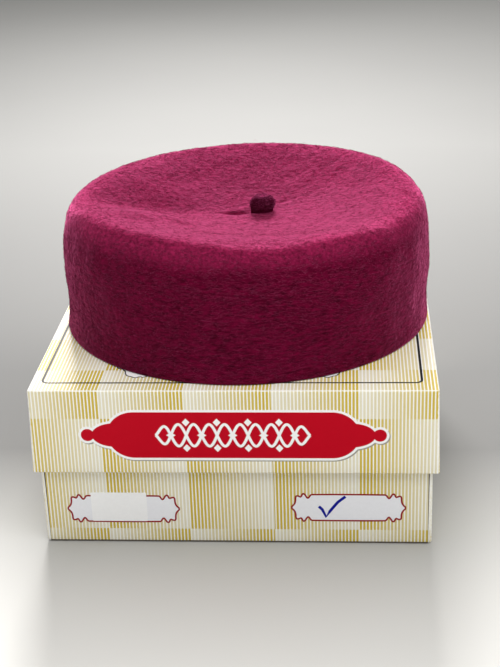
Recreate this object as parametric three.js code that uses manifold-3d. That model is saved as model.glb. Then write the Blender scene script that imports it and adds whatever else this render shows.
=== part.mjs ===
// A felt fez standing on its closed cardboard hat box.
//
// Millimetres, +Z up. The origin is on the ground under the middle of the object. The box's
// printed front faces -Y. Four separate pieces: the felt crown, the nub on top of it, and the
// box's lift-off lid and base.

import * as THREE from "three";
import Module from "manifold-3d";
import { mergeVertices } from "three/addons/utils/BufferGeometryUtils.js";

const wasm = await Module();
wasm.setup();

// ---- Driving dimensions ----

const gap = 0.3; // left between pieces that rest on each other

const box = {
  width: 189,
  depth: 194,
  height: 82.3,
  board: 1.5,
  cornerRadius: 1.2,
  lidWall: 42.5, // how far the lid's walls come down
  lidClearance: 1.0, // between the lid's walls and the base, all round
  baseSetback: 0.6, // how far the base has slid back inside the lid
};

const felt = 3; // thickness of the fulled felt
const hemRadius = 0.5; // roundness of the cut edge that the crown stands on

const crown = {
  x: 1.2,
  y: 0.8,
  height: 65.3, // from the lid to the crest of the rounded top edge
  shoulderHeight: 26, // where the wall starts to round over
  crestRadius: 80.8,
  roundnessAcross: 0.82, // exponents of the rounded shoulder, 1 and 1 make an ellipse
  roundnessUp: 0.52,
  dishDepth: 12, // how far the middle of the top lies below the crest
  dishRoundness: 1.25, // exponent of the dish, 1 is a parabola
  foldsStart: 39, // the height below which the wall has no folds
};

// The wall's outer radius, up to the shoulder.
const wallSections = [
  { height: 0, radius: 92.9 },
  { height: 13, radius: 92.0 },
  { height: crown.shoulderHeight, radius: 92.6 },
];

// How soft felt strays from a true round at the crest: waves round the rim, by order.
const rimWaves = [
  { order: 1, heightCos: -0.4, heightSin: -0.1, radiusCos: 0.9, radiusSin: 0.0 },
  { order: 2, heightCos: -0.8, heightSin: 2.4, radiusCos: -0.2, radiusSin: -1.0 },
  { order: 3, heightCos: 1.0, heightSin: 0.4, radiusCos: -0.4, radiusSin: -0.4 },
];

// Soft folds in the top: swells and hollows, each an oval with its long axis turned by `turn`
// degrees from +X. x and y are measured from the crown's axis.
const folds = [
  { name: "trough", x: 2, y: 4, turn: 27, length: 40, width: 22, rise: -0.8 },
  { name: "left hollow", x: -50, y: -3, turn: 8, length: 30, width: 17, rise: -3.6 },
  { name: "left edge hollow", x: -74, y: -18, turn: 70, length: 15, width: 9, rise: -1.4 },
  { name: "front left swell", x: -47, y: -27, turn: 0, length: 20, width: 12, rise: 3.4 },
  { name: "back left swell", x: -58, y: 40, turn: 38, length: 30, width: 17, rise: 1.4 },
  { name: "front hollow", x: 10, y: -40, turn: 0, length: 44, width: 14, rise: -1.0 },
  { name: "front bank", x: 18, y: -62, turn: 6, length: 48, width: 12, rise: 1.2 },
  { name: "front edge", x: -8, y: -84, turn: 0, length: 62, width: 20, rise: -3.4 },
  { name: "front left edge", x: -54, y: -64, turn: -42, length: 30, width: 20, rise: -2.6 },
  { name: "front right edge", x: 48, y: -70, turn: 34, length: 24, width: 18, rise: 2.0 },
];

const button = {
  x: 8.9, // from the crown's axis
  y: 4.2,
  sections: [
    { height: 0, radius: 5.7 },
    { height: 2.2, radius: 5.85 },
    { height: 4.4, radius: 5.9 },
    { height: 6.0, radius: 5.5 },
    { height: 7.2, radius: 4.5 },
    { height: 7.8, radius: 2.6 },
  ],
  topHeight: 7.9,
};

const crownSides = 72;
const buttonSides = 20;

// ---- Helpers ----

function smoothStep(low, high, value) {
  const t = Math.min(1, Math.max(0, (value - low) / (high - low)));
  return t * t * (3 - 2 * t);
}

function material(color, roughness) {
  return new THREE.MeshStandardMaterial({ color, roughness, metalness: 0 });
}

function piece(name, geometry, itsMaterial) {
  const mesh = new THREE.Mesh(geometry, itsMaterial);
  mesh.name = name;
  return mesh;
}

// A lathe about +Z. The profile is a list of Vector2(radius, height) that starts and ends on the
// axis and keeps the solid on its left.
function turned(profile, sides) {
  const geometry = new THREE.LatheGeometry(profile, sides);
  geometry.rotateX(Math.PI / 2);
  return geometry;
}

// Moves every vertex by a function of its place, then works out the normals again.
function reshape(geometry, move) {
  const position = geometry.getAttribute("position");
  const point = new THREE.Vector3();
  for (let i = 0; i < position.count; i += 1) {
    point.fromBufferAttribute(position, i);
    move(point);
    position.setXYZ(i, point.x, point.y, point.z);
  }
  geometry.computeVertexNormals();
  return geometry;
}

// ---- Felt crown ----

function foldRise(x, y) {
  let rise = 0;
  for (const fold of folds) {
    const turn = THREE.MathUtils.degToRad(fold.turn);
    const dx = x - fold.x;
    const dy = y - fold.y;
    const along = (dx * Math.cos(turn) + dy * Math.sin(turn)) / fold.length;
    const across = (dy * Math.cos(turn) - dx * Math.sin(turn)) / fold.width;
    rise += fold.rise * Math.exp(-along * along - across * across);
  }
  return rise;
}

// The dished top of the true round, as a height above the lid.
function dishHeight(radius) {
  const inward = Math.min(1, radius / crown.crestRadius);
  return crown.height - crown.dishDepth * (1 - inward ** 2) ** crown.dishRoundness;
}

// Bends one point of the true round crown into the soft one.
function soften(point) {
  const radius = Math.hypot(point.x, point.y);
  const angle = Math.atan2(point.y, point.x);
  const up = point.z / crown.height;
  const inward = Math.min(1, radius / crown.crestRadius);
  let outward = 0;
  let lift = 0;
  for (const wave of rimWaves) {
    const cos = Math.cos(wave.order * angle);
    const sin = Math.sin(wave.order * angle);
    outward += (wave.radiusCos * cos + wave.radiusSin * sin) * up * inward;
    lift += (wave.heightCos * cos + wave.heightSin * sin) * up * up * inward ** wave.order;
  }
  lift += foldRise(point.x, point.y) * smoothStep(crown.foldsStart, 50, point.z);
  point.x += outward * Math.cos(angle);
  point.y += outward * Math.sin(angle);
  point.z += lift;
}

// The rounded shoulder, from the wall to the crest, `inset` inside the outer face.
function shoulderPoints(count, inset) {
  const wallRadius = wallSections.at(-1).radius - inset;
  const reach = wallRadius - crown.crestRadius;
  const rise = crown.height - inset - crown.shoulderHeight;
  const points = [];
  for (let i = 1; i <= count; i += 1) {
    const angle = (Math.PI / 2) * (i / count) ** 2;
    const across = Math.max(0, Math.cos(angle)) ** crown.roundnessAcross;
    const up = Math.sin(angle) ** crown.roundnessUp;
    points.push(new THREE.Vector2(crown.crestRadius + reach * across, crown.shoulderHeight + rise * up));
  }
  return points;
}

// The dished top from the crest to the axis, `inset` below the outer face.
function dishPoints(count, inset) {
  const points = [];
  for (let i = 1; i <= count; i += 1) {
    const radius = crown.crestRadius * (1 - i / count);
    points.push(new THREE.Vector2(radius, dishHeight(radius) - inset));
  }
  return points;
}

function wallPoints(inset) {
  return wallSections.slice(1).map(({ height, radius }) => new THREE.Vector2(radius - inset, height));
}

function crownProfile() {
  const foot = wallSections[0].radius;
  const outside = [
    new THREE.Vector2(foot - hemRadius, gap),
    new THREE.Vector2(foot, gap + hemRadius),
    ...wallPoints(0),
    ...shoulderPoints(12, 0),
    ...dishPoints(12, 0),
  ];
  const inside = [
    new THREE.Vector2(foot - felt + hemRadius, gap),
    new THREE.Vector2(foot - felt, gap + hemRadius),
    ...wallPoints(felt),
    ...shoulderPoints(9, felt),
    ...dishPoints(10, felt),
  ];
  return [...inside.reverse(), ...outside];
}

function makeCrown() {
  const geometry = reshape(turned(crownProfile(), crownSides), soften);
  geometry.translate(crown.x, crown.y, box.height);
  return piece("crown", geometry, material("#6d1236", 0.95));
}

// ---- Nub on top ----

function makeButton() {
  const profile = [
    new THREE.Vector2(0, 0),
    ...button.sections.map(({ height, radius }) => new THREE.Vector2(radius, height)),
    new THREE.Vector2(0, button.topHeight),
  ];
  const geometry = reshape(turned(profile, buttonSides), (point) => {
    const under = new THREE.Vector3(point.x + button.x, point.y + button.y, 0);
    under.z = dishHeight(Math.hypot(under.x, under.y));
    soften(under);
    point.z += under.z + gap;
  });
  geometry.translate(crown.x + button.x, crown.y + button.y, box.height);
  return piece("top_button", geometry, material("#3d0a20", 0.95));
}

// ---- Cardboard box ----

// An upright prism with rounded corners, its bottom at z = 0.
function roundedPrism(width, depth, height, radius) {
  const x = width / 2;
  const y = depth / 2;
  const outline = new THREE.Shape();
  outline.moveTo(radius - x, -y);
  outline.lineTo(x - radius, -y);
  outline.absarc(x - radius, radius - y, radius, -Math.PI / 2, 0);
  outline.absarc(x - radius, y - radius, radius, 0, Math.PI / 2);
  outline.absarc(radius - x, y - radius, radius, Math.PI / 2, Math.PI);
  outline.absarc(radius - x, radius - y, radius, Math.PI, Math.PI * 1.5);
  return new THREE.ExtrudeGeometry(outline, { depth: height, bevelEnabled: false, curveSegments: 4 });
}

function toSolid(geometry) {
  geometry.deleteAttribute("normal");
  geometry.deleteAttribute("uv");
  const merged = mergeVertices(geometry);
  return new wasm.Manifold(
    new wasm.Mesh({
      numProp: 3,
      vertProperties: new Float32Array(merged.getAttribute("position").array),
      triVerts: new Uint32Array(merged.getIndex().array),
    }),
  );
}

function fromSolid(solid) {
  const mesh = solid.getMesh();
  const geometry = new THREE.BufferGeometry();
  geometry.setAttribute("position", new THREE.BufferAttribute(mesh.vertProperties, 3));
  geometry.setIndex(new THREE.BufferAttribute(mesh.triVerts, 1));
  geometry.computeVertexNormals();
  return geometry;
}

// An open-topped tray of board, its floor's underside at z = 0.
function tray(width, depth, height) {
  const outer = roundedPrism(width, depth, height, box.cornerRadius);
  const inner = new THREE.BoxGeometry(width - 2 * box.board, depth - 2 * box.board, height);
  inner.translate(0, 0, height / 2 + box.board);
  return fromSolid(toSolid(outer).subtract(toSolid(inner)));
}

function makeLid() {
  const mesh = piece("box_lid", tray(box.width, box.depth, box.lidWall), material("#f0e6c4", 0.5));
  mesh.rotation.x = Math.PI;
  mesh.position.z = box.height;
  return mesh;
}

function makeBase() {
  const shrink = 2 * (box.board + box.lidClearance);
  const height = box.height - box.board - gap;
  const geometry = tray(box.width - shrink, box.depth - shrink, height);
  const mesh = piece("box_base", geometry, material("#e6dcba", 0.5));
  mesh.position.y = box.baseSetback;
  return mesh;
}

// ---- Assembly ----

const fez = new THREE.Group();
fez.add(makeCrown(), makeButton());

const hatBox = new THREE.Group();
hatBox.add(makeLid(), makeBase());

const group = new THREE.Group();
group.add(fez, hatBox);

export default group;
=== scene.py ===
import math

import bmesh
import bpy
import numpy as np
from mathutils import Matrix, Vector


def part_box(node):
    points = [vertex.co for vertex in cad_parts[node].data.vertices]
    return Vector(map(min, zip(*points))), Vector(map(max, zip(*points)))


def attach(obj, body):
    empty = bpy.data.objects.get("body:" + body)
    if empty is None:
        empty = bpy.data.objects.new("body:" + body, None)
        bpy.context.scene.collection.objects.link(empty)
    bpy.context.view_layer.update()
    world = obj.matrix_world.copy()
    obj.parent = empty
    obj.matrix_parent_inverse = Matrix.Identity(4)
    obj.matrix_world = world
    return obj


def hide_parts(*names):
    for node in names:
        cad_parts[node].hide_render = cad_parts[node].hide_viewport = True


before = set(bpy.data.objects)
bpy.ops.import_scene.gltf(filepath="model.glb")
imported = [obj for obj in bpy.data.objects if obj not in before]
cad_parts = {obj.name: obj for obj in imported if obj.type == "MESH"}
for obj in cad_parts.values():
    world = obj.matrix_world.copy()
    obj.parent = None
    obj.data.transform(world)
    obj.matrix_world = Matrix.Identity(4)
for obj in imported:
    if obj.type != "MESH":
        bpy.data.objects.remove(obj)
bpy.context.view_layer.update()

# A felt fez standing on its printed cardboard hat box. Metres, +Z up, the box's front faces -Y.

MM = 0.001

LID_LOW, LID_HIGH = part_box("box_lid")
BASE_LOW, BASE_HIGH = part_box("box_base")
LID_TOP = LID_HIGH[2]

# The two trays. bulge is how far the card walls stand out of true, at the floor and at the rim.
LID = {"low": LID_LOW, "high": LID_HIGH, "opens_up": False, "bulge": (0.3 * MM, 1.2 * MM)}
BASE = {"low": BASE_LOW, "high": BASE_HIGH, "opens_up": True, "bulge": (0.8 * MM, 0.4 * MM)}

# ---- crown sizes

CROWN_AXIS = (1.2 * MM, 0.8 * MM)
CROWN_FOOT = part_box("crown")[0][2]
FELT = 3 * MM
HEM_RADIUS = 0.5 * MM

CREST_HEIGHT = 65.3 * MM  # heights are above the lid
SHOULDER_HEIGHT = 26 * MM
CREST_RADIUS = 80.8 * MM
ROUNDNESS_ACROSS = 0.82
ROUNDNESS_UP = 0.52
DISH_DEPTH = 12.0 * MM
DISH_ROUNDNESS = 1.25
FOLDS_START = 39 * MM  # the folds fade in from here
FOLDS_FULL = 50 * MM

WALL_SECTIONS = (
    {"height": 0.0, "radius": 92.9},
    {"height": 13.0, "radius": 92.0},
    {"height": 26.0, "radius": 92.6},
)

# Waves round the rim, in millimetres at the crest: how it strays from a true round.
RIM_WAVES = (
    {"order": 1, "height_cos": -0.4, "height_sin": -0.1, "radius_cos": 0.9, "radius_sin": 0.0},
    {"order": 2, "height_cos": -0.8, "height_sin": 2.4, "radius_cos": -0.2, "radius_sin": -1.0},
    {"order": 3, "height_cos": 1.0, "height_sin": 0.4, "radius_cos": -0.4, "radius_sin": -0.4},
)

# Swells and hollows of the top, in millimetres and degrees.
FOLDS = (
    {"x": 2, "y": 4, "turn": 27, "length": 40, "width": 22, "rise": -0.8},
    {"x": -50, "y": -3, "turn": 8, "length": 30, "width": 17, "rise": -3.6},
    {"x": -74, "y": -18, "turn": 70, "length": 15, "width": 9, "rise": -1.4},
    {"x": -47, "y": -27, "turn": 0, "length": 20, "width": 12, "rise": 3.4},
    {"x": -58, "y": 40, "turn": 38, "length": 30, "width": 17, "rise": 1.4},
    {"x": 10, "y": -40, "turn": 0, "length": 44, "width": 14, "rise": -1.0},
    {"x": 18, "y": -62, "turn": 6, "length": 48, "width": 12, "rise": 1.2},
    {"x": -8, "y": -84, "turn": 0, "length": 62, "width": 20, "rise": -3.4},
    {"x": -54, "y": -64, "turn": -42, "length": 30, "width": 20, "rise": -2.6},
    {"x": 48, "y": -70, "turn": 34, "length": 24, "width": 18, "rise": 2.0},
    # Finer ones, which the plain solid leaves out: the swell's crease, the pinch beside the nub
    # and faint ripples.
    {"x": -49, "y": -16, "turn": 6, "length": 20, "width": 3.6, "rise": 0.7},
    {"x": -33, "y": -33, "turn": -16, "length": 12, "width": 4.5, "rise": -0.9},
    {"x": -3.5, "y": 1.2, "turn": 6, "length": 8, "width": 2.2, "rise": -1.3},
    {"x": 20, "y": 14, "turn": 30, "length": 5, "width": 2.2, "rise": -0.5},
    {"x": 30, "y": 40, "turn": 62, "length": 24, "width": 5, "rise": 0.3},
    {"x": 44, "y": 30, "turn": 50, "length": 22, "width": 5, "rise": -0.3},
)

# The felt's relief: broad unevenness, less of it on top, and small bumps.
BROAD_WAVES = (14 * MM, 40 * MM)
BROAD_RELIEF = 0.22 * MM
BROAD_LESS_ON_TOP = 0.7
SMALL_WAVES = (3 * MM, 7 * MM)
SMALL_RELIEF = 0.05 * MM
RELIEF_FREE_FOOT = 4 * MM  # the relief fades out over this height at the foot
INSIDE_RELIEF = 0.4  # as a share of the outside's


# ---- small helpers


def smooth_step(low, high, value):
    """0 below low, 1 above high, and a smooth rise between."""
    t = np.clip((value - low) / (high - low), 0, 1)
    return t * t * (3 - 2 * t)


def ripple(points, wavelengths, height, seed):
    """A soft random relief: plane waves in random directions, summed at each point."""
    rng = np.random.default_rng(seed)
    total = np.zeros(len(points))
    count = 30
    for _ in range(count):
        direction = rng.normal(size=3)
        direction /= np.linalg.norm(direction)
        length = rng.uniform(*wavelengths)
        phase = rng.uniform(0, 2 * math.pi)
        total += np.sin(points @ direction * (2 * math.pi / length) + phase)
    return height * total / math.sqrt(count / 2)


def put_in_scene(name, data):
    """Adds a mesh, a light or a camera to the scene."""
    thing = bpy.data.objects.new(name, data)
    bpy.context.scene.collection.objects.link(thing)
    return thing


def finish_piece(name, mesh, materials, slot):
    """Makes a mesh a piece of the object, which all rides on one body."""
    for material in materials:
        mesh.materials.append(material)
    piece = put_in_scene(name, mesh)
    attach(piece, "root")
    return piece


def add_piece(name, points, faces, materials, slot, smooth=True):
    """Makes a piece of the object from points and faces."""
    mesh = bpy.data.meshes.new(name)
    mesh.from_pydata(np.asarray(points).tolist(), [], faces)
    mesh.update()
    if smooth:
        mesh.shade_smooth()
    return finish_piece(name, mesh, materials, slot)


def grid_faces(rings, sides):
    """Quads between closed rings of points, laid ring after ring."""
    faces = []
    for ring in range(rings - 1):
        here = ring * sides
        for side in range(sides):
            after = (side + 1) % sides
            faces.append((here + side, here + after, here + sides + after, here + sides + side))
    return faces


# ---- material helpers


class Value:
    """A number that varies over a surface, worked out by math nodes."""

    def __init__(self, tree, socket):
        self.tree = tree
        self.socket = socket

    def math(self, operation, *others):
        node = self.tree.nodes.new("ShaderNodeMath")
        node.operation = operation
        for place, value in zip(node.inputs, (self, *others)):
            if isinstance(value, Value):
                self.tree.links.new(value.socket, place)
            else:
                place.default_value = value
        return Value(self.tree, node.outputs[0])

    def __add__(self, other):
        return self.math("ADD", other)

    def __sub__(self, other):
        return self.math("SUBTRACT", other)

    def __mul__(self, other):
        return self.math("MULTIPLY", other)

    def __truediv__(self, other):
        return self.math("DIVIDE", other)

    def __lt__(self, other):
        return self.math("LESS_THAN", other)

    def __gt__(self, other):
        return self.math("GREATER_THAN", other)

    def size(self):
        return self.math("ABSOLUTE")

    def floor(self):
        return self.math("FLOOR")

    def fraction(self):
        return self.math("FRACT")

    def least(self, other):
        return self.math("MINIMUM", other)


class Surface:
    """A material being made: its node tree and its Principled shader."""

    def __init__(self, name, roughness):
        self.material = bpy.data.materials.new(name)
        self.material.use_nodes = True
        self.tree = self.material.node_tree
        self.shader = self.tree.nodes["Principled BSDF"]
        self.shader.inputs["Roughness"].default_value = roughness

    def node(self, kind, **settings):
        """A new node. Each setting is one of its inputs, or else one of its properties."""
        node = self.tree.nodes.new(kind)
        for key, value in settings.items():
            if key in node.inputs:
                node.inputs[key].default_value = value
            else:
                setattr(node, key, value)
        return node

    def link(self, source, place):
        self.tree.links.new(source, place)

    def place(self):
        return self.node("ShaderNodeTexCoord").outputs["Object"]

    def noise(self, scale, detail=2.0, roughness=0.5, stretch=None):
        """Noise from 0 to 1. scale is features per metre, and stretch a scale for each axis."""
        node = self.node("ShaderNodeTexNoise", Scale=scale, Detail=detail, Roughness=roughness)
        source = self.place()
        if stretch is not None:
            mapping = self.node("ShaderNodeMapping", Scale=stretch)
            self.link(source, mapping.inputs["Vector"])
            source = mapping.outputs["Vector"]
        self.link(source, node.inputs["Vector"])
        return Value(self.tree, node.outputs["Fac"])

    def part(self, source, axis):
        """The X, Y or Z part of a place."""
        parts = self.node("ShaderNodeSeparateXYZ")
        self.link(source, parts.inputs[0])
        return Value(self.tree, parts.outputs[axis])

    def reach(self):
        """Distance from the upright axis through the origin."""
        flat = self.node("ShaderNodeVectorMath", operation="MULTIPLY")
        self.link(self.place(), flat.inputs[0])
        flat.inputs[1].default_value = (1, 1, 0)
        length = self.node("ShaderNodeVectorMath", operation="LENGTH")
        self.link(flat.outputs[0], length.inputs[0])
        return Value(self.tree, length.outputs["Value"])

    def mix(self, amount, first, second):
        """first where amount is 0 and second where it is 1. Colours are tuples or sockets."""
        node = self.node("ShaderNodeMix", data_type="RGBA", clamp_factor=True)
        self.link(amount.socket, node.inputs["Factor"])
        for place, colour in ((node.inputs[6], first), (node.inputs[7], second)):
            if isinstance(colour, tuple):
                place.default_value = (*colour, 1)
            else:
                self.link(colour, place)
        return node.outputs[2]

    def spread(self, value, low, high, to_low=0.0, to_high=1.0):
        """value, from low to high, brought to the range from to_low to to_high."""
        ends = {"From Min": low, "From Max": high, "To Min": to_low, "To Max": to_high}
        node = self.node("ShaderNodeMapRange", **ends)
        self.link(value.socket, node.inputs["Value"])
        return Value(self.tree, node.outputs["Result"])

    def colour(self, socket):
        self.link(socket, self.shader.inputs["Base Color"])

    def roughness(self, value):
        self.link(value.socket, self.shader.inputs["Roughness"])

    def sheen(self, weight, tint):
        """The soft light that fibres standing on a surface catch, with no gloss under it."""
        self.shader.inputs["Specular IOR Level"].default_value = 0.0
        self.shader.inputs["Sheen Weight"].default_value = weight
        self.shader.inputs["Sheen Roughness"].default_value = SHEEN_ROUGHNESS
        self.shader.inputs["Sheen Tint"].default_value = (*tint, 1)

    def bump(self, height, depth, strength):
        """Shades the surface as if it rose and fell by this depth."""
        node = self.node("ShaderNodeBump", Strength=strength, Distance=depth)
        self.link(height.socket, node.inputs["Height"])
        self.link(node.outputs["Normal"], self.shader.inputs["Normal"])


# ---- felt materials

# Colours between the fibres, darkened partly with painted shade, on the nap, and of the light the
# nap catches.
FELT_DEEP = (0.026, 0.0004, 0.004)
FELT_LIGHT = (0.168, 0.003, 0.032)
FELT_SHEEN = (1.0, 0.185, 0.44)
NUB_DEEP = (0.03, 0.0006, 0.007)
NUB_LIGHT = (0.075, 0.002, 0.018)
NUB_SHEEN = (1.0, 0.12, 0.38)
SHEEN_ROUGHNESS = 0.36

# Colours of single fibres, from the darkest to the lightest.
WOOL_DARK = (0.07, 0.002, 0.013)
WOOL_LIGHT = (0.24, 0.016, 0.06)
NUB_WOOL_DARK = (0.03, 0.001, 0.008)
NUB_WOOL_LIGHT = (0.09, 0.006, 0.03)
NUB_WOOL_SHEEN = (1.0, 0.15, 0.4)

# The nap is brushed level below the first height and lies every way above the second.
NAP_TURNS = (LID_TOP + 48 * MM, LID_TOP + 60 * MM)

# A painted highlight on the rounded edge, standing in for the sheen the light gives it there: the
# heights and the distances from the middle it fades in over, and how many times paler it makes each
# part of the colours.
PAINTED_HIGHLIGHT_HEIGHTS = (LID_TOP + 53 * MM, LID_TOP + 62 * MM)
PAINTED_HIGHLIGHT_REACHES = (70 * MM, 85 * MM)
LEAST_PAINTED_HIGHLIGHT = 0.1
PAINTED_HIGHLIGHT_DEEP_GAIN = (4.0, 10, 6)
PAINTED_HIGHLIGHT_LIGHT_GAIN = (2.0, 5.5, 2.5)

PATCH_SHARE = 0.16  # how much of the felt's tone is slow patches
FELT_RELIEF = 0.7 * MM
FLATTER_ON_TOP = 0.4


def gained(gains, colour):
    """A colour with each part multiplied by its gain."""
    return tuple(gain * part for gain, part in zip(gains, colour))


def felt_material(name, deep, light, sheen, sheen_tint):
    """Fulled wool: nap brushed level round the wall and every way on top, darker in its low places
    partly with painted shade, slow patches of colour, a painted highlight on the rounded edge, and
    the sheen of raised fibres."""
    felt = Surface(name, roughness=1.0)
    brushed = felt.noise(270, detail=4, roughness=0.65, stretch=(1, 1, 3.4))
    tangled = felt.noise(620, detail=4, roughness=0.65)
    height = felt.part(felt.place(), "Z")
    on_top = felt.spread(height, *NAP_TURNS)
    nap = brushed + (tangled - brushed) * on_top
    patches = felt.noise(45, detail=3, roughness=0.6)
    # The tone follows the nap's height, so its low places are darker: partly the felt's own
    # mottling, partly painted shade in the hollows between fibres.
    fine = felt.spread(nap, 0.33, 0.67) * (1 - PATCH_SHARE)
    tone = fine + felt.spread(patches, 0.3, 0.7) * PATCH_SHARE
    lying = felt.mix(tone, deep, light)
    # Painted highlight: the nap's colours made many times paler on the rounded edge, where the
    # light catches it.
    wear_and_painted_highlight = felt.mix(tone, gained(PAINTED_HIGHLIGHT_DEEP_GAIN, deep), gained(PAINTED_HIGHLIGHT_LIGHT_GAIN, light))
    edge = felt.spread(height, *PAINTED_HIGHLIGHT_HEIGHTS)
    painted_highlight_mask = edge * felt.spread(felt.reach(), *PAINTED_HIGHLIGHT_REACHES, LEAST_PAINTED_HIGHLIGHT, 1.0)
    felt.colour(felt.mix(painted_highlight_mask, lying, wear_and_painted_highlight))
    felt.sheen(sheen, sheen_tint)
    tufts = felt.noise(420, detail=3)
    flatter = on_top * -FLATTER_ON_TOP + 1
    felt.bump((nap * 0.6 + tufts * 0.8) * flatter, FELT_RELIEF, 0.9)
    return felt.material


def strand_material(name, deep, light, sheen_tint):
    """Single wool fibres. Each has a tone of its own, kept in its points."""
    fibre = Surface(name, roughness=0.7)
    kept = fibre.node("ShaderNodeAttribute", attribute_name="tone")
    tone = Value(fibre.tree, kept.outputs["Fac"])
    fibre.colour(fibre.mix(tone, deep, light))
    fibre.sheen(0.8, sheen_tint)
    return fibre.material


# ---- crown surface


def dish_height(radius):
    """Height of the true round crown's dished top above the lid."""
    inward = np.minimum(1, radius / CREST_RADIUS)
    return CREST_HEIGHT - DISH_DEPTH * (1 - inward**2) ** DISH_ROUNDNESS


def crown_outline(inset):
    """Radius and height of the true round crown, from the foot to the axis, in fine steps."""
    heights = [row["height"] for row in WALL_SECTIONS]
    radii = [row["radius"] for row in WALL_SECTIONS]
    curve = np.polyfit(heights, radii, 2)
    wall_height = np.linspace(HEM_RADIUS, SHOULDER_HEIGHT, 200, endpoint=False)
    wall_radius = np.polyval(curve, wall_height / MM) * MM - inset
    angle = math.pi / 2 * np.linspace(0, 1, 800, endpoint=False) ** 3
    reach = radii[-1] * MM - inset - CREST_RADIUS
    rise = CREST_HEIGHT - inset - SHOULDER_HEIGHT
    shoulder_radius = CREST_RADIUS + reach * np.cos(angle) ** ROUNDNESS_ACROSS
    shoulder_height = SHOULDER_HEIGHT + rise * np.sin(angle) ** ROUNDNESS_UP
    dish_radius = np.linspace(CREST_RADIUS, 0, 400)
    radius = np.concatenate([wall_radius, shoulder_radius, dish_radius])
    height = np.concatenate([wall_height, shoulder_height, dish_height(dish_radius) - inset])
    return radius, height


class Outline:
    """The round crown's outline by distance along it from the foot, 0, to the axis, 1."""

    def __init__(self, inset):
        radius, height = crown_outline(inset)
        steps = np.hypot(np.diff(radius), np.diff(height))
        along = np.concatenate([[0], np.cumsum(steps)])
        self.length = along[-1]
        self.along = along / self.length
        self.radius_list = radius
        self.height_list = height

    def radius(self, share):
        return np.interp(share, self.along, self.radius_list)

    def height(self, share):
        return np.interp(share, self.along, self.height_list)

    def normal(self, share):
        """Outward and upward parts of the outline's outer normal."""
        step = 0.004
        low = np.clip(share - step, 0, 1)
        high = np.clip(share + step, 0, 1)
        out = self.height(high) - self.height(low)
        up = self.radius(low) - self.radius(high)
        size = np.hypot(out, up)
        return out / size, up / size


def soften(points):
    """Bends points of the true round crown, about its axis, into the soft one."""
    x, y, z = points.T
    radius = np.hypot(x, y)
    angle = np.arctan2(y, x)
    up = z / CREST_HEIGHT
    inward = np.minimum(1, radius / CREST_RADIUS)
    outward = np.zeros(len(x))
    lift = np.zeros(len(x))
    folded = smooth_step(FOLDS_START, FOLDS_FULL, z)
    for wave in RIM_WAVES:
        cos = np.cos(wave["order"] * angle)
        sin = np.sin(wave["order"] * angle)
        outward += (wave["radius_cos"] * cos + wave["radius_sin"] * sin) * up * inward
        height = wave["height_cos"] * cos + wave["height_sin"] * sin
        lift += height * up**2 * inward ** wave["order"]
    for fold in FOLDS:
        turn = math.radians(fold["turn"])
        dx = x / MM - fold["x"]
        dy = y / MM - fold["y"]
        along = (dx * math.cos(turn) + dy * math.sin(turn)) / fold["length"]
        across = (dy * math.cos(turn) - dx * math.sin(turn)) / fold["width"]
        lift += fold["rise"] * np.exp(-(along**2) - across**2) * folded
    outward *= MM
    return np.stack([x + outward * np.cos(angle), y + outward * np.sin(angle), z + lift * MM], 1)


def crown_points(outline, share, angle, lift=0.0, relief=1.0):
    """Points of the soft crown and their normals, at shares of the outline and angles."""
    out, up = outline.normal(share)
    normal = np.stack([out * np.cos(angle), out * np.sin(angle), up], 1)
    radius = outline.radius(share)
    flat = np.stack([radius * np.cos(angle), radius * np.sin(angle), outline.height(share)], 1)
    points = soften(flat)
    if relief:
        bumps = ripple(flat, BROAD_WAVES, BROAD_RELIEF, 11)
        bumps *= 1 - BROAD_LESS_ON_TOP * np.maximum(up, 0)
        bumps += ripple(flat, SMALL_WAVES, SMALL_RELIEF, 12)
        lift = lift + bumps * relief * np.clip(outline.height(share) / RELIEF_FREE_FOOT, 0, 1)
    points = points + normal * np.reshape(lift, (-1, 1))
    return points + np.array([*CROWN_AXIS, LID_TOP]), normal


OUTER = Outline(0)
INNER = Outline(FELT)


def make_crown(material):
    """The felt shell: its inner face, the cut edge it stands on and its outer face."""
    sides = 400
    outer_rings = 168
    inner_rings = 44
    turn = np.arange(sides) * 2 * math.pi / sides
    rings = []

    def ring(outline, share, relief):
        return crown_points(outline, np.full(sides, share), turn, relief=relief)[0]

    # The rings stop short of the axis, and a fan closes each face there.
    inner_shares = np.linspace(0.985, 0.0, inner_rings)
    outer_shares = np.linspace(0.0, 0.994, outer_rings)
    for share in inner_shares:
        rings.append(ring(INNER, share, INSIDE_RELIEF))
    # The cut edge, rounded from the inner wall under to the outer one.
    for outline, bends in ((INNER, (45, 90)), (OUTER, (90, 45))):
        inward = -1 if outline is OUTER else 1
        edge = ring(outline, 0.0, 0)
        for bend in bends:
            angle = math.radians(bend)
            shift = inward * HEM_RADIUS * (1 - math.cos(angle))
            lower = edge.copy()
            lower[:, 0] += shift * np.cos(turn)
            lower[:, 1] += shift * np.sin(turn)
            lower[:, 2] = CROWN_FOOT + HEM_RADIUS * (1 - math.sin(angle))
            rings.append(lower)
    for share in outer_shares:
        rings.append(ring(OUTER, share, 1.0))
    one = np.ones(1)
    inside_middle = crown_points(INNER, one, 0 * one, relief=INSIDE_RELIEF)[0]
    outside_middle = crown_points(OUTER, one, 0 * one, relief=1.0)[0]
    points = np.concatenate([*rings, inside_middle, outside_middle])
    faces = grid_faces(len(rings), sides)
    last = (len(rings) - 1) * sides
    middle = len(rings) * sides
    for side in range(sides):
        after = (side + 1) % sides
        faces.append((after, side, middle))
        faces.append((last + side, last + after, middle + 1))
    piece = add_piece("felt_crown", points, faces, [material], "felt")
    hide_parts("crown")


# ---- nub

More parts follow.
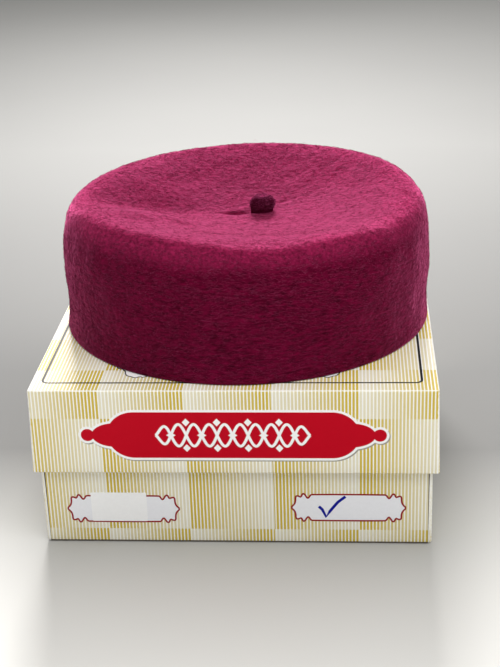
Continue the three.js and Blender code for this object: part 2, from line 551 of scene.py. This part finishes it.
NUB_OFFSET = (8.9 * MM, 4.2 * MM)  # from the crown's axis
NUB_LEAN = 0.05
NUB_SETTLED = 6 * MM  # below this height the nub follows the felt under it
NUB_STEPS = 60  # points in its outline

# Sizes in millimetres. The first section is sunk in the crown's felt.
NUB_SECTIONS = (
    {"height": -0.8, "radius": 6.1},
    {"height": 0.6, "radius": 5.7},
    {"height": 2.4, "radius": 5.7},
    {"height": 4.4, "radius": 5.9},
    {"height": 6.0, "radius": 5.5},
    {"height": 7.2, "radius": 4.4},
    {"height": 7.8, "radius": 2.6},
    {"height": 7.9, "radius": 0.6},
)


def top_height(x, y):
    """Height above the ground of the crown's top at a place given from the crown's axis."""
    radius = np.hypot(x, y)
    flat = np.stack([x, y, dish_height(radius)], 1)
    return soften(flat)[:, 2] + LID_TOP


def nub_outline():
    """Radius and height of the nub, rounded through its sections."""
    heights = np.array([row["height"] for row in NUB_SECTIONS])
    radii = np.array([row["radius"] for row in NUB_SECTIONS])
    along = np.concatenate([[0], np.cumsum(np.hypot(np.diff(heights), np.diff(radii)))])
    fine = np.linspace(0, along[-1], NUB_STEPS)
    kernel = np.hanning(9)
    kernel /= kernel.sum()

    def rounded(values):
        dense = np.interp(fine, along, values)
        padded = np.pad(dense, 4, mode="reflect", reflect_type="odd")
        return np.convolve(padded, kernel, mode="valid")

    return rounded(radii) * MM, rounded(heights) * MM


def nub_points(radius, height, angle, lift=0.0):
    """Points of the nub, which follows the felt under it and leans a little."""
    local = np.stack([radius * np.cos(angle), radius * np.sin(angle), height], 1)
    swell = 1 + ripple(local, (5 * MM, 12 * MM), 0.035, 21) + lift / (6 * MM)
    x = local[:, 0] * swell + NUB_LEAN * height
    y = local[:, 1] * swell
    floor = top_height(x + NUB_OFFSET[0], y + NUB_OFFSET[1])
    level = top_height(np.array([NUB_OFFSET[0]]), np.array([NUB_OFFSET[1]]))[0]
    blend = np.clip(1 - height / NUB_SETTLED, 0, 1)
    z = level + (floor - level) * blend + height + ripple(local, (3 * MM, 8 * MM), 0.12 * MM, 22)
    place = np.array([CROWN_AXIS[0] + NUB_OFFSET[0], CROWN_AXIS[1] + NUB_OFFSET[1], 0])
    return np.stack([x, y, z], 1) + place


def make_nub(material):
    """The small felt nub on top, closed under the crown's felt."""
    sides = 96
    radius, height = nub_outline()
    turn = np.arange(sides) * 2 * math.pi / sides
    rings = [nub_points(np.full(sides, r), np.full(sides, h), turn) for r, h in zip(radius, height)]
    points = np.concatenate(rings)
    faces = grid_faces(len(rings), sides)
    last = (len(rings) - 1) * sides
    faces.append(tuple(range(sides))[::-1])
    faces.append(tuple(last + side for side in range(sides)))
    piece = add_piece("felt_nub", points, faces, [material], "button_felt")
    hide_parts("top_button")


# ---- fibres

STRAND_PARTS = (-0.5, -0.17, 0.17, 0.5)  # a fibre's four points, along it from its middle
STRAND_BEND = 35  # degrees
LOOSE_SHARE = 0.12  # of the crown's fibres, that have one end standing free
LOOSE_RISE = 2.2  # how much higher the free end stands than the fibre's middle
FEWER_ON_TOP = 0.6
WILDER_ON_TOP = 1.6


def strand_mesh(name, paths, normals, widths, tones, material, slot):
    """Thin closed spindles along short paths of four points, joined in one mesh."""
    count = len(paths)
    tangent = paths[:, 2] - paths[:, 1]
    tangent /= np.linalg.norm(tangent, axis=1, keepdims=True)
    side = np.cross(normals, tangent)
    side /= np.linalg.norm(side, axis=1, keepdims=True)
    up = np.cross(tangent, side)
    points = np.empty((count, 8, 3))
    points[:, 0] = paths[:, 0]
    points[:, 7] = paths[:, 3]
    for corner in range(3):
        turn = math.radians(90 + 120 * corner)
        shift = (side * math.cos(turn) + up * math.sin(turn)) * (widths / 2)[:, None]
        points[:, 1 + corner] = paths[:, 1] + shift
        points[:, 4 + corner] = paths[:, 2] + shift
    pattern = []
    for corner in range(3):
        after = (corner + 1) % 3
        pattern.append((0, 1 + after, 1 + corner))
        pattern.append((1 + corner, 1 + after, 4 + after))
        pattern.append((1 + corner, 4 + after, 4 + corner))
        pattern.append((4 + corner, 4 + after, 7))
    pattern = np.array(pattern)
    faces = (np.arange(count)[:, None, None] * 8 + pattern[None]).reshape(-1, 3)
    mesh = bpy.data.meshes.new(name)
    mesh.vertices.add(count * 8)
    mesh.vertices.foreach_set("co", points.ravel())
    mesh.loops.add(len(faces) * 3)
    mesh.loops.foreach_set("vertex_index", faces.ravel())
    mesh.polygons.add(len(faces))
    mesh.polygons.foreach_set("loop_start", np.arange(len(faces)) * 3)
    mesh.update(calc_edges=True)
    tone = np.repeat(tones, 8)
    mesh.attributes.new("tone", "FLOAT", "POINT").data.foreach_set("value", tone)
    # A map for baking the strands' colours: tone across, distance along the strand up.
    level = np.tile(np.array([0.02, 0.34, 0.34, 0.34, 0.66, 0.66, 0.66, 0.98]), count)
    chart = mesh.uv_layers.new(name="OFBake")
    vertex = faces.ravel()
    face_shift = np.tile(np.array([0.0, 0.006, 0.012]), len(faces))
    across = 0.01 + 0.96 * tone[vertex] + face_shift
    chart.uv.foreach_set("vector", np.stack([across, level[vertex]], 1).ravel())
    mesh.shade_smooth()
    finish_piece(name, mesh, [material], slot)


def crown_strands(name, material, count, seed, length, lift, width, spread):
    """Fibres that lie on the crown, with their ends tucked into the nap. Sizes in millimetres;
    spread is how far they stray from level, in degrees."""
    rng = np.random.default_rng(seed)
    shares = np.linspace(0.004, 0.985, 2000)
    fewer = FEWER_ON_TOP * smooth_step(0.45, 0.55, shares)
    weight = np.cumsum(OUTER.radius(shares) * (1 - fewer))
    share = np.interp(rng.uniform(0, weight[-1], count), weight, shares)
    angle = rng.uniform(0, 2 * math.pi, count)
    on_top = smooth_step(0.40, 0.52, share)
    heading = rng.normal(size=count) * math.radians(spread) * (1 + WILDER_ON_TOP * on_top)
    bend = rng.normal(size=count) * math.radians(STRAND_BEND)
    reach = length * MM * rng.lognormal(0, 0.45, count)
    rise = lift * MM * rng.lognormal(0, 0.5, count)
    loose = rng.uniform(size=count) < LOOSE_SHARE
    paths = np.empty((count, 4, 3))
    for step, part in enumerate(STRAND_PARTS):
        direction = heading + bend * part
        radius = np.maximum(OUTER.radius(share), 6 * MM)
        at_angle = angle + np.cos(direction) * part * reach / radius
        at_share = np.clip(share + np.sin(direction) * part * reach / OUTER.length, 0.001, 0.995)
        tip = step in (0, 3)
        lifted = np.where(loose & (step == 3), rise * LOOSE_RISE, 0.0 if tip else rise)
        paths[:, step] = crown_points(OUTER, at_share, at_angle, lift=lifted)[0]
    normals = crown_points(OUTER, share, angle, relief=0)[1]
    widths = width * MM * rng.uniform(0.7, 1.3, count)
    tones = rng.beta(2, 3, count)
    strand_mesh(name, paths, normals, widths, tones, material, "felt")


def nub_strands(name, material, count, seed):
    """Fibres wrapped round the nub, each with its first end tucked in."""
    rng = np.random.default_rng(seed)
    radii, heights = nub_outline()
    steps = np.arange(NUB_STEPS)
    place = rng.integers(12, 56, count)
    angle = rng.uniform(0, 2 * math.pi, count)
    turn = rng.normal(size=count) * 0.5
    paths = np.empty((count, 4, 3))
    for step, part in enumerate(STRAND_PARTS):
        index = np.clip(place + part * np.sin(turn) * 14, 0, NUB_STEPS - 1)
        radius = np.interp(index, steps, radii)
        height = np.interp(index, steps, heights)
        around = angle + part * np.cos(turn) * 2.2 * MM / np.maximum(radius, 2 * MM)
        lift = 0.0 if step == 0 else 0.25 * MM * (1 + step * (rng.uniform(size=count) < 0.3))
        paths[:, step] = nub_points(radius, height, around, lift=lift)
    normals = np.stack([np.cos(angle), np.sin(angle), np.full(count, 0.4)], 1)
    widths = 0.09 * MM * rng.uniform(0.7, 1.3, count)
    tones = rng.beta(2, 3, count)
    strand_mesh(name, paths, normals, widths, tones, material, "button_felt")


# ---- cardboard trays

BOARD = 1.5 * MM
CORNER_RADIUS = 1.2 * MM
LID_FOLD = 0.7 * MM  # roundness of the folds between floor and walls
BASE_FOLD = 1.5 * MM


def rounded_loop(half_width, half_depth, radius, steps=6):
    """Points of a rounded rectangle, anticlockwise."""
    points = []
    for quarter, (sx, sy) in enumerate(((1, 1), (-1, 1), (-1, -1), (1, -1))):
        for step in range(steps + 1):
            angle = (quarter + step / steps) * math.pi / 2
            x = sx * (half_width - radius) + radius * math.cos(angle)
            y = sy * (half_depth - radius) + radius * math.sin(angle)
            points.append((x, y))
    return np.array(points)


def tray_section(height, fold):
    """Inset and height of the tray's wall, from under its floor, round the fold, over the rim
    and down to the floor inside."""
    rows = []
    for bend in np.linspace(0, 90, 7):
        angle = math.radians(bend)
        rows.append((fold * (1 - math.sin(angle)), fold * (1 - math.cos(angle))))
    for share in (0.1, 0.25, 0.4, 0.55, 0.7, 0.85):
        rows.append((0.0, share * height))
    rim = BOARD / 2
    for bend in np.linspace(0, 180, 9):
        angle = math.radians(bend)
        rows.append((rim * (1 - math.cos(angle)), height - rim + rim * math.sin(angle)))
    rows.append((BOARD, BOARD))
    return rows


def bulge_at(share, bulge):
    """How far a tray's wall stands out, a share of the way from its floor to its rim."""
    return bulge[0] + (bulge[1] - bulge[0]) * share**1.4


def make_tray(name, low, high, opens_up, bulge, fold, materials, slot, node):
    """A tray of wrapped board that fills the box from low to high."""
    low = Vector(low)
    high = Vector(high)
    middle = (low + high) / 2
    size = high - low
    loops = []
    for inset, level in tray_section(size.z, fold):
        radius = max(CORNER_RADIUS - inset, 0.3 * MM)
        inset -= bulge_at(level / size.z, bulge)
        loop = rounded_loop(size.x / 2 - inset, size.y / 2 - inset, radius)
        z = low.z + level if opens_up else high.z - level
        loops.append(np.column_stack([loop + [middle.x, middle.y], np.full(len(loop), z)]))
    sides = len(loops[0])
    faces = grid_faces(len(loops), sides)
    faces.append(tuple(range(sides))[::-1])
    last = (len(loops) - 1) * sides
    faces.append(tuple(last + side for side in range(sides)))
    if not opens_up:
        faces = [face[::-1] for face in faces]
    piece = add_piece(name, np.concatenate(loops), faces, materials, slot)
    mesh = piece.data
    mesh.set_sharp_from_angle(angle=math.radians(40))
    # The inside is lined with plain paper from a little below the rim.
    inner = len(loops) - 2
    for index, face in enumerate(mesh.polygons):
        ring = index // sides
        lined = ring >= inner and index != len(mesh.polygons) - 2
        face.material_index = 1 if lined else 0
    unfold(mesh, middle, size, low.z if opens_up else high.z)
    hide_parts(node)


def unfold(mesh, middle, size, floor):
    """A map in metres of the flat sheet that wraps the tray: the floor in the middle, the walls
    folded out round it."""
    sheet = mesh.uv_layers.new(name="sheet")
    for face in mesh.polygons:
        normal = face.normal
        for corner in face.loop_indices:
            point = mesh.vertices[mesh.loops[corner].vertex_index].co - middle
            drop = abs(point.z + middle.z - floor)
            u, v = point.x, point.y
            if max(abs(normal.x), abs(normal.y)) > abs(normal.z):
                if abs(normal.y) >= abs(normal.x):
                    v = math.copysign(size.y / 2 + drop, normal.y)
                else:
                    u = math.copysign(size.x / 2 + drop, normal.x)
            sheet.uv[corner].vector = (u, v)


# ---- printed paper

# Sizes in millimetres on the flat sheet.
STRIPE_PITCH = 1.646
STRIPE_SHARE = 0.64  # the printed part of the pitch
CHECK_WIDTH = 40.1
CHECK_HEIGHT = 36.3
CHECK_START = -62.1
FAINTEST_STRIPE = 0.08
RUBBED_WIDTH = 0.75

FAINT_GOLD = (0.81, 0.78, 0.64)
FULL_GOLD = (0.61, 0.46, 0.06)
WHITES = ((0.91, 0.92, 0.90), (0.94, 0.945, 0.925))
RUBBED_WHITE = (0.93, 0.93, 0.90)


def print_surface(name, roughness):
    """Coated paper, with little gloss."""
    paper = Surface(name, roughness)
    paper.shader.inputs["Specular IOR Level"].default_value = 0.05
    return paper


def printed_paper(name, low, high, row_start, first_row):
    """Satin paper printed with thin stripes whose strength runs up across each check, and the
    other way in every second row of checks. A row starts row_start from the front fold, and
    first_row says which way the rows start off."""
    half_width = (high[0] - low[0]) / 2 / MM
    half_depth = (high[1] - low[1]) / 2 / MM
    first_start = -half_depth + row_start - CHECK_HEIGHT
    paper = print_surface(name, 0.42)
    sheet = paper.node("ShaderNodeUVMap", uv_map="sheet").outputs["UV"]
    u = paper.part(sheet, "X") * 1000
    v = paper.part(sheet, "Y") * 1000
    stripe = ((u - CHECK_START) / STRIPE_PITCH).fraction() > 1 - STRIPE_SHARE
    across = ((u - CHECK_START) / CHECK_WIDTH).fraction()
    row = (((v - first_start) / CHECK_HEIGHT).floor() * 0.5 + first_row * 0.5).fraction() * 2
    falling = across * -1.0 + 1
    strength = across + (falling - across) * row
    strength = paper.spread(strength, 0.0, 0.85, FAINTEST_STRIPE, 1.0)
    ink = paper.mix(strength, FAINT_GOLD, FULL_GOLD)
    grain = paper.noise(260, detail=3)
    white = paper.mix(grain, *WHITES)
    printed = paper.mix(stripe, white, ink)
    # Along the folds the print is rubbed back to white.
    fold_x = (u.size() - half_width).size()
    fold_y = (v.size() - half_depth).size()
    rub = paper.noise(500, detail=3)
    fold = fold_x.least(fold_y) + rub * 0.8
    wear_and_painted_highlight = fold < RUBBED_WIDTH
    paper.colour(paper.mix(wear_and_painted_highlight * 0.75, printed, RUBBED_WHITE))
    paper.roughness(paper.spread(rub, 0.2, 0.8, 0.36, 0.5))
    paper.bump(paper.noise(900, detail=2) + paper.noise(60) * 2, 0.06 * MM, 0.35)
    return paper.material


def plain_paper(name, colour, roughness=0.5):
    """One printed or plain paper colour with a fine grain."""
    paper = print_surface(name, roughness)
    grain = paper.noise(700, detail=3)
    darker = tuple(part * 0.94 for part in colour)
    paper.colour(paper.mix(grain, darker, colour))
    paper.bump(grain, 0.03 * MM, 0.3)
    return paper.material


# ---- printed shapes


def on_front(low, high, opens_up, bulge):
    """Lays (across, up, out) on a tray's front wall, which looks to -Y."""

    def lay(across, up, out):
        share = (up - low[2]) / (high[2] - low[2])
        stand = bulge_at(share if opens_up else 1 - share, bulge)
        return (across, low[1] - stand - out, up)

    return lay


def on_level(z):
    """Lays (across, back, out) on a level face."""
    return lambda a, b, out: (a, b, z + out)


def decal(name, outlines, lay, thickness, material, slot):
    """Thin closed shapes on a face."""
    work = bmesh.new()
    for outline in outlines:
        lower = [work.verts.new(lay(a, b, 0)) for a, b in outline]
        upper = [work.verts.new(lay(a, b, thickness)) for a, b in outline]
        work.faces.new(lower[::-1])
        work.faces.new(upper)
        for i in range(len(outline)):
            j = (i + 1) % len(outline)
            work.faces.new((lower[i], lower[j], upper[j], upper[i]))
    bmesh.ops.recalc_face_normals(work, faces=work.faces)
    bmesh.ops.triangulate(work, faces=[face for face in work.faces if len(face.verts) > 4])
    mesh = bpy.data.meshes.new(name)
    work.to_mesh(mesh)
    work.free()
    finish_piece(name, mesh, [material], slot)


def line_sides(points, before, after, width):
    """The two sides of a line of this width, which runs from before to after at each point."""
    along = after - before
    along /= np.linalg.norm(along, axis=1, keepdims=True)
    side = np.column_stack([-along[:, 1], along[:, 0]]) * width / 2
    return points + side, points - side


def open_line(points, width):
    """The outline of a line of this width through the points."""
    before = np.vstack([points[:1], points[:-1]])
    after = np.vstack([points[1:], points[-1:]])
    left, right = line_sides(points, before, after, width)
    return np.vstack([left, right[::-1]])


def line_decal(name, points, width, lay, thickness, material, slot):
    """A thin closed band along a closed line."""
    before = np.roll(points, 1, axis=0)
    after = np.roll(points, -1, axis=0)
    sides = line_sides(points, before, after, width)
    corners = []
    for outline in sides:
        for level in (0, thickness):
            corners += [lay(a, b, level) for a, b in outline]
    count = len(points)
    faces = []
    for i in range(count):
        j = (i + 1) % count
        for first, second in ((0, 1), (1, 3), (3, 2), (2, 0)):
            near = first * count
            far = second * count
            faces.append((near + i, near + j, far + j, far + i))
    piece = add_piece(name, np.array(corners), faces, [material], slot, smooth=False)
    work = bmesh.new()
    work.from_mesh(piece.data)
    bmesh.ops.recalc_face_normals(work, faces=work.faces)
    work.to_mesh(piece.data)
    work.free()


def cut_corners(points):
    """A closed outline with each of its corners cut off."""
    after = np.roll(points, -1, axis=0)
    near = points * 0.75 + after * 0.25
    far = points * 0.25 + after * 0.75
    return np.stack([near, far], 1).reshape(-1, 2)


# The red panel's lobes, in millimetres: each is straight for a way from its middle, then an
# elliptic end.
PANEL_LOBES = (
    {"middle": 0, "straight": 46, "reach": 12.7, "height": 11.75},
    {"middle": 0, "straight": 55, "reach": 11, "height": 6.1},
    {"middle": 68, "straight": 0, "reach": 3.1, "height": 3.1},
)


def panel_outline(grow=0.0):
    """The panel's outline round its middle, grown outward all round."""
    end = max(lobe["middle"] + lobe["straight"] + lobe["reach"] for lobe in PANEL_LOBES) + grow
    share = np.linspace(0, 1, 260)
    x = end * np.sin(share * math.pi / 2)
    height = np.zeros(len(x))
    for lobe in PANEL_LOBES:
        beyond = np.maximum(0, np.abs(x - lobe["middle"]) - lobe["straight"])
        fall = np.clip(1 - (beyond / (lobe["reach"] + grow)) ** 2, 0, 1)
        height = np.maximum(height, (lobe["height"] + grow) * np.sqrt(fall))
    upper = np.column_stack([x, height])
    right = np.vstack([upper, (upper * [1, -1])[-2::-1]])
    left = (right * [-1, 1])[::-1]
    outline = np.vstack([right[1:-1], left[1:-1]])
    return outline * MM


# A quarter of a label field's edge, in millimetres from its middle: side point, hollow flank,
# notched corner and the start of the straight edge.
LABEL_QUARTER = (
    (27.3, 0.0),
    (25.5, 1.8),
    (25.0, 3.6),
    (25.0, 5.7),
    (24.3, 6.4),
    (23.2, 6.0),
    (22.4, 5.6),
    (21.8, 7.1),
    (21.2, 7.6),
    (20.5, 7.0),
    (19.8, 5.7),
    (19.1, 4.9),
    (18.4, 5.8),
    (17.9, 6.7),
    (17.1, 7.1),
)


def label_outline():
    """A label field's whole edge, round its middle."""
    quarter = np.array(LABEL_QUARTER)
    upper = np.vstack([quarter, (quarter * [-1, 1])[::-1]])
    whole = np.vstack([upper, (upper * [1, -1])[-2:0:-1]])
    return cut_corners(whole) * MM


def shifted(outline, across, up):
    """An outline moved to another place on its face."""
    return outline + np.array([across, up])


PANEL_MIDDLE = (0.0, LID_TOP - 22.6 * MM)
PANEL_BORDER = 1.2  # millimetres
LOOP_PITCH = 14.4 * MM  # of the braid's loops
LABEL_MIDDLES = ((-54.3 * MM, 18.4 * MM), (53.3 * MM, 19.6 * MM))
TOP_PRINT_SHIFT = -1.1 * MM  # the print on the lid's top lies a little off its middle
FRAME_INSET = 8.3 * MM
FRAME_HALF_WIDTH = 88.4 * MM
TICK = ((-6.0, 0.6), (-4.4, -1.0), (-2.6, -5.0), (-0.8, -2.0), (3.0, 3.0), (6.6, 6.0))


def braid(half_length, turns, height):
    """Two waves that cross each other, as lists of points."""
    x = np.linspace(-half_length, half_length, 40 * turns + 1)
    fade = np.clip((half_length - np.abs(x)) / (half_length / turns / 1.2), 0, 1) ** 0.5
    y = height * fade * np.sin(x / half_length * math.pi * turns)
    return [np.column_stack([x, y]), np.column_stack([x, -y])]


def lozenge(x, y, half_width, half_height):
    """A lozenge's four corners."""
    lower = (x, y - half_height)
    upper = (x, y + half_height)
    return np.array([(x - half_width, y), lower, (x + half_width, y), upper])


def braid_eyes(across, up):
    """Lozenges in the braid's loops, and between the loops above and below them."""
    eyes = []
    for i in range(5):
        x = across + (i - 2) * LOOP_PITCH
        eyes.append(lozenge(x, up, 2.2 * MM, 1.5 * MM))
    for i in range(4):
        x = across + (i - 1.5) * LOOP_PITCH
        for side in (1, -1):
            eyes.append(lozenge(x, up + side * 6.6 * MM, 1.8 * MM, 2.0 * MM))
    return eyes


def make_inks():
    """The flat colours of the print, the dark line along the base's edges, the sticker and the pen.
    """
    return {
        "red": plain_paper("printed_red", (0.52, 0.0015, 0.014), roughness=0.38),
        "white": plain_paper("printed_white", (0.96, 0.96, 0.96)),
        "shade": plain_paper("printed_shade", (0.36, 0.34, 0.30)),
        "black": plain_paper("printed_black", (0.02, 0.02, 0.022)),
        "brown": plain_paper("edge_line_brown", (0.12, 0.10, 0.08)),
        "dark_red": plain_paper("printed_dark_red", (0.30, 0.008, 0.016)),
        "pale": plain_paper("printed_pale", (0.88, 0.89, 0.93)),
        "sticker": plain_paper("sticker_white", (0.95, 0.955, 0.96), roughness=0.3),
        "pen": plain_paper("pen_blue", (0.008, 0.012, 0.30), roughness=0.35),
    }


def print_panel(inks, slot):
    """The red panel on the lid's front: a white border with a shade, and a white braid."""
    front = on_front(**LID)
    across, up = PANEL_MIDDLE
    border = shifted(panel_outline(PANEL_BORDER), across, up)
    shadow = shifted(panel_outline(PANEL_BORDER), across + 0.5 * MM, up - 0.55 * MM)
    panel = shifted(panel_outline(), across, up)
    decal("panel_shade", [shadow], front, 0.03 * MM, inks["shade"], slot)
    decal("panel_border", [border], front, 0.06 * MM, inks["white"], slot)
    decal("panel_red", [panel], front, 0.09 * MM, inks["red"], slot)

    bands = braid(half_length=36 * MM, turns=5, height=5.6 * MM)
    strips = [shifted(open_line(line, 1.35 * MM), across, up) for line in bands]
    under = [shifted(strip, 0.35 * MM, -0.4 * MM) for strip in strips]
    decal("ornament_shade_a", under[:1], front, 0.105 * MM, inks["dark_red"], slot)
    decal("ornament_shade_b", under[1:], front, 0.115 * MM, inks["dark_red"], slot)
    decal("ornament_band_a", strips[:1], front, 0.13 * MM, inks["white"], slot)
    decal("ornament_band_b", strips[1:], front, 0.15 * MM, inks["white"], slot)
    decal("ornament_eyes", braid_eyes(across, up), front, 0.14 * MM, inks["white"], slot)


def print_labels(inks, slot):
    """The base's front: a thin line along its edges and two blank label fields, one with a
    sticker and the other with a pen tick."""
    front = on_front(**BASE)
    # A thin dark brown line along the front's sides and foot, at the base's edges.
    side, foot, head = BASE_HIGH[0] - 1.0 * MM, 0.7 * MM, 42 * MM
    edge = np.array([(-side, head), (-side, foot), (side, foot), (side, head)])
    edge_line = open_line(edge, 0.6 * MM)
    decal("base_edge_line", [edge_line], front, 0.03 * MM, inks["brown"], slot)

    fields = [shifted(label_outline(), *middle) for middle in LABEL_MIDDLES]
    decal("label_fields", fields, front, 0.05 * MM, inks["pale"], slot)
    for where, outline in zip(("left", "right"), fields):
        name = f"label_edge_{where}"
        line_decal(name, outline, 0.8 * MM, front, 0.08 * MM, inks["dark_red"], slot)
    (left, left_up), (right, right_up) = LABEL_MIDDLES
    sticker = rounded_loop(13.4 * MM, 7.8 * MM, 0.6 * MM, 3)
    sticker = shifted(sticker, left - 2.0 * MM, left_up + 1.0 * MM)
    decal("sticker", [sticker], front, 0.14 * MM, inks["sticker"], slot)
    tick = shifted(open_line(np.array(TICK) * MM, 1.4 * MM), right - 8 * MM, right_up)
    decal("pen_tick", [tick], front, 0.10 * MM, inks["pen"], slot)


def print_lid_top(inks, slot):
    """The lid's top: a thin frame near its edges and the field under the hat."""
    top = on_level(LID_TOP)
    back = LID_HIGH[1] - FRAME_INSET
    front = LID_LOW[1] + FRAME_INSET
    line = rounded_loop(FRAME_HALF_WIDTH, (back - front) / 2, 3 * MM)
    line = shifted(line, TOP_PRINT_SHIFT, (back + front) / 2)
    line_decal("frame_line", line, 1.1 * MM, top, 0.05 * MM, inks["black"], slot)
    plaque = shifted(top_plaque(), TOP_PRINT_SHIFT, 0)
    decal("top_plaque", [plaque], top, 0.04 * MM, inks["white"], slot)
    line_decal("top_plaque_edge", plaque, 0.6 * MM, top, 0.06 * MM, inks["black"], slot)


def top_plaque():
    """A plain field with notched corners in the middle of the lid, nearly all under the hat."""
    quarter = [(60, 0), (60, 60), (55, 64), (56, 72), (51, 74.5), (50, 80.5), (47, 82)]
    quarter += [(45, 83.4), (43, 81.8), (41, 83), (38, 79), (0, 79)]
    quarter = np.array(quarter, float)
    right = np.vstack([quarter, (quarter * [1, -1])[::-1]])
    left = (right * [-1, 1])[::-1]
    outline = np.vstack([right[:-1], left[:-1]]) * MM
    keep = np.ones(len(outline), bool)
    keep[1:] = np.linalg.norm(np.diff(outline, axis=0), axis=1) > 0.1 * MM
    return cut_corners(outline[keep])


# ---- stage

CAMERA_PLACE = (55.3 * MM, -662.8 * MM, 356.3 * MM)
CAMERA_TURN = -4.609  # degrees from +Y to the right
CAMERA_TILT = 23.394  # degrees down
CAMERA_ROLL = -2.040
LENS = 74.48

FLOOR_PALE = (0.86, 0.855, 0.825)
FLOOR_GREY = (0.17, 0.17, 0.167)
FLOOR_HALF = 6.0
AIM = (0, 0, 0.12)  # the lights look at the hat


def make_camera():
    """The camera, in front of the box, above it and a little to the right."""
    data = bpy.data.cameras.new("camera")
    data.lens = LENS
    data.clip_start = 0.01
    camera = put_in_scene("camera", data)
    turn = Matrix.Rotation(math.radians(-CAMERA_TURN), 4, "Z")
    tilt = Matrix.Rotation(math.radians(90 - CAMERA_TILT), 4, "X")
    roll = Matrix.Rotation(math.radians(CAMERA_ROLL), 4, "Z")
    camera.matrix_world = Matrix.Translation(CAMERA_PLACE) @ turn @ tilt @ roll
    bpy.context.scene.camera = camera


def make_floor():
    """A level floor: pale in front of the box, and grey beside and behind it. The grey is painted
    shade, where the light falls off away from the box.
    """
    floor = Surface("floor", roughness=0.7)
    cloud = floor.noise(3, detail=3)
    back = floor.part(floor.place(), "Y")
    # Painted shade: the floor turns grey from the box's front edge backwards.
    beside = floor.spread(back, -0.26, 0.0) * 0.97
    behind = floor.spread(back, 0.1, 0.6) * 0.2
    tone = beside - behind + cloud * 0.05
    floor.shader.inputs["Specular IOR Level"].default_value = 0.05
    floor.colour(floor.mix(tone, FLOOR_PALE, FLOOR_GREY))
    mesh = bpy.data.meshes.new("floor")
    low, high = -FLOOR_HALF, FLOOR_HALF
    corners = [(low, low, 0), (high, low, 0), (high, high, 0), (low, high, 0)]
    mesh.from_pydata(corners, [], [(0, 1, 2, 3)])
    mesh.materials.append(floor.material)
    plane = put_in_scene("floor", mesh)


def add_light(name, place, size, power, colour, beam=180):
    """A softbox aimed at the hat. beam is the angle, in degrees, that its light is kept to."""
    data = bpy.data.lights.new(name, "AREA")
    data.shape = "RECTANGLE"
    data.size, data.size_y = size
    data.energy = power
    data.color = colour
    data.spread = math.radians(beam)
    light = put_in_scene(name, data)
    light.location = place
    aim = Vector(AIM) - Vector(place)
    light.rotation_euler = aim.to_track_quat("-Z", "Y").to_euler()


def make_light():
    """A bright room, a softbox low behind the hat, and one above and one in front of it."""
    world = bpy.data.worlds.new("studio")
    world.use_nodes = True
    background = world.node_tree.nodes["Background"]
    background.inputs["Color"].default_value = (1.0, 0.99, 0.97, 1)
    background.inputs["Strength"].default_value = 0.45
    bpy.context.scene.world = world
    add_light("back_softbox", (-0.2, 2.2, 1.1), (0.9, 0.7), 10.5, (1, 0.98, 0.97), beam=45)
    add_light("top_softbox", (0.0, 0.3, 2.2), (2.2, 2.2), 16, (1, 0.99, 0.98))
    add_light("front_softbox", (0.7, -0.9, 1.8), (1.6, 0.9), 21.5, (1, 1, 1))
    bpy.context.scene.view_settings.view_transform = "Standard"


# ---- the object

make_camera()
make_floor()
make_light()

felt = felt_material("wine_felt", FELT_DEEP, FELT_LIGHT, 1.0, FELT_SHEEN)
nub_felt = felt_material("nub_felt", NUB_DEEP, NUB_LIGHT, 0.4, NUB_SHEEN)
wool = strand_material("wool_strands", WOOL_DARK, WOOL_LIGHT, FELT_SHEEN)
nub_wool = strand_material("nub_strands", NUB_WOOL_DARK, NUB_WOOL_LIGHT, NUB_WOOL_SHEEN)

make_crown(felt)
make_nub(nub_felt)
crown_strands("strands_short_a", wool, 16000, 31, length=1.8, lift=0.10, width=0.09, spread=26)
crown_strands("strands_short_b", wool, 16000, 32, length=1.8, lift=0.16, width=0.08, spread=30)
crown_strands("strands_long", wool, 14000, 33, length=3.4, lift=0.20, width=0.08, spread=18)
nub_strands("strands_nub", nub_wool, 1500, 34)

lid_paper = printed_paper("lid_paper", LID_LOW, LID_HIGH, row_start=22, first_row=0)
base_paper = printed_paper("base_paper", BASE_LOW, BASE_HIGH, row_start=-7.5, first_row=1)
lining = plain_paper("box_lining", (0.72, 0.70, 0.64), roughness=0.8)
lid_look = {"materials": [lid_paper, lining], "slot": "lid_board"}
base_look = {"materials": [base_paper, lining], "slot": "base_board"}
make_tray("hat_box_lid", **LID, fold=LID_FOLD, **lid_look, node="box_lid")
make_tray("hat_box_base", **BASE, fold=BASE_FOLD, **base_look, node="box_base")
printed = make_inks()
print_panel(printed, "lid_board")
print_labels(printed, "base_board")
print_lid_top(printed, "lid_board")
